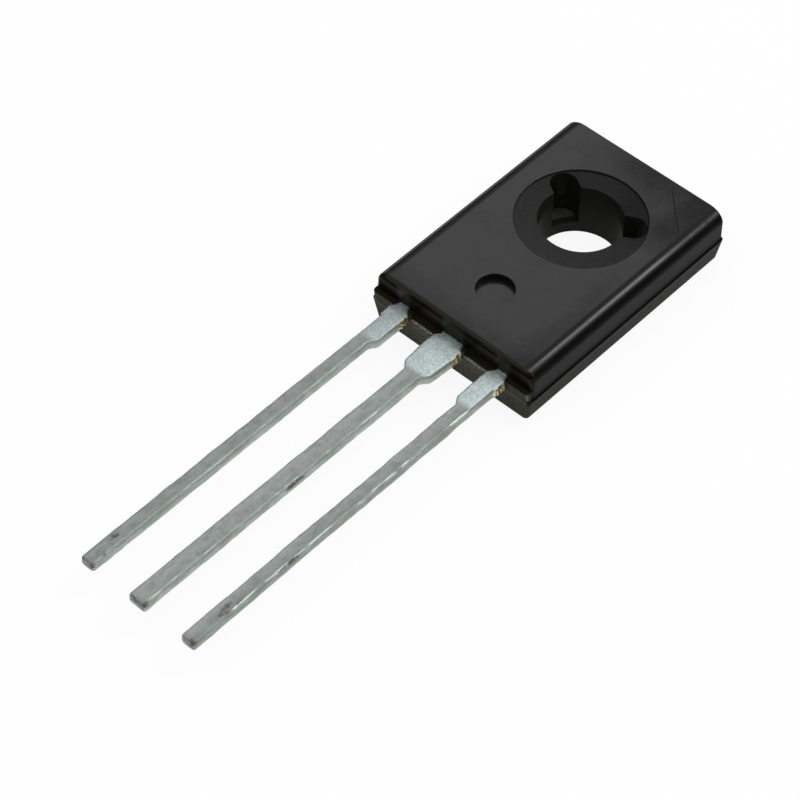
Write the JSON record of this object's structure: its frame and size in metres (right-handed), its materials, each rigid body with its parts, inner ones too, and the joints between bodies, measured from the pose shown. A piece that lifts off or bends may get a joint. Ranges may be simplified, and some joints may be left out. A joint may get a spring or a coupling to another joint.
{
  "type": "silicon controlled rectifier",
  "caption": "Three-lead silicon controlled rectifier in a flat black moulded package with a screw hole and a metal mounting face; switches and rectifies current through a gate.",
  "frame": {"origin": "middle of the screw hole at the mounting face", "axes": "+Z along the screw hole, out of the front face; the leads point along -Y; from -X to +X the leads are cathode, anode and gate"},
  "size_m": [0.0074, 0.026, 0.0023],
  "materials": {
    "moulded_epoxy": "fine-grained black epoxy moulding compound",
    "anode_metal": "dull tin plating on copper alloy",
    "lead_metal": "dull tin plating on copper alloy",
    "silicon": "metallised silicon",
    "solder": "soft solder",
    "bond_wire": "bare drawn wire"
  },
  "bodies": {
    "root": {"case": "moulded_epoxy", "anode_frame": "anode_metal", "cathode_lead": "lead_metal", "gate_lead": "lead_metal", "thyristor_chip": "silicon", "chip_solder": "solder", "cathode_wire": "bond_wire", "gate_wire": "bond_wire"}
  },
  "joints": []
}
